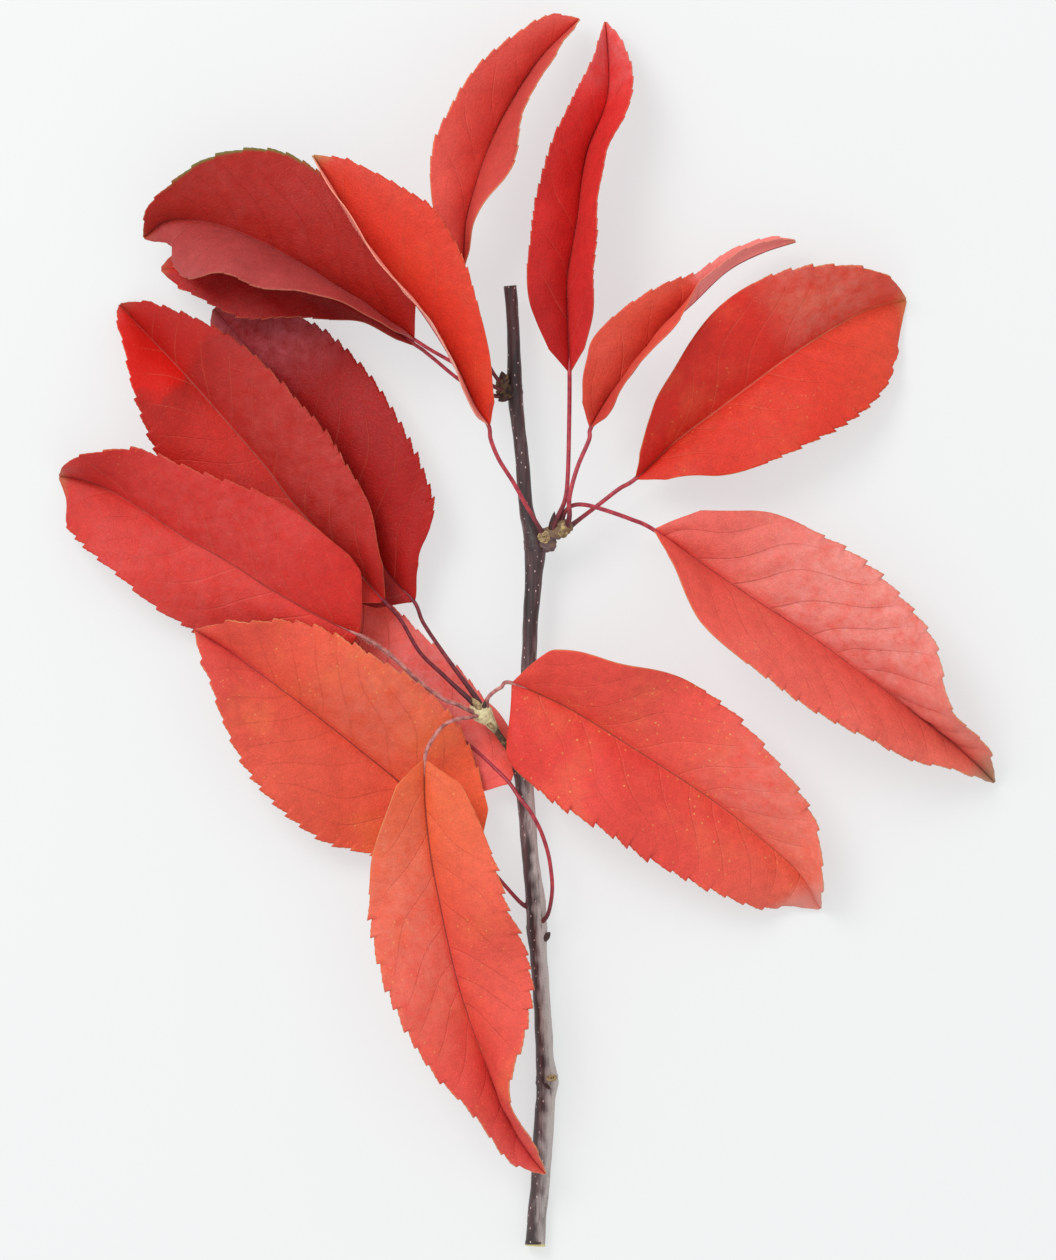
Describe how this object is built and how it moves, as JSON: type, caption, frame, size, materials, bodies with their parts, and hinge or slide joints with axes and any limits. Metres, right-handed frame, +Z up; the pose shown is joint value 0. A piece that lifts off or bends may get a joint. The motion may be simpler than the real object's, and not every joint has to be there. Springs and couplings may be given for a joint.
{
  "type": "autumn leaf twig",
  "caption": "Cut twig with clusters of red autumn leaves on short side shoots, lying flat with its leaves fanned out to both sides.",
  "frame": {"origin": "middle of the footprint, on the surface the twig lies on", "axes": "+Y along the twig towards its cut top, +Z up from the surface, away from it"},
  "size_m": [0.2067, 0.2719, 0.0401],
  "materials": {
    "bark": "matt purplish brown bark",
    "young_bark": "matt yellow-green young bark",
    "leaf_red": "soft sheen, red autumn leaf"
  },
  "bodies": {
    "root": {"twig": "bark", "spur_top": "young_bark", "spur_middle": "young_bark", "spur_lower": "young_bark", "leaf_a1": "leaf_red", "leaf_a2": "leaf_red", "leaf_a3": "leaf_red", "leaf_b1": "leaf_red", "leaf_b2": "leaf_red", "leaf_b3": "leaf_red", "leaf_b4": "leaf_red", "leaf_b5": "leaf_red", "leaf_c1": "leaf_red", "leaf_c2": "leaf_red", "leaf_c3": "leaf_red", "leaf_c4": "leaf_red", "leaf_c5": "leaf_red", "leaf_d1": "leaf_red", "leaf_d2": "leaf_red"}
  },
  "joints": []
}
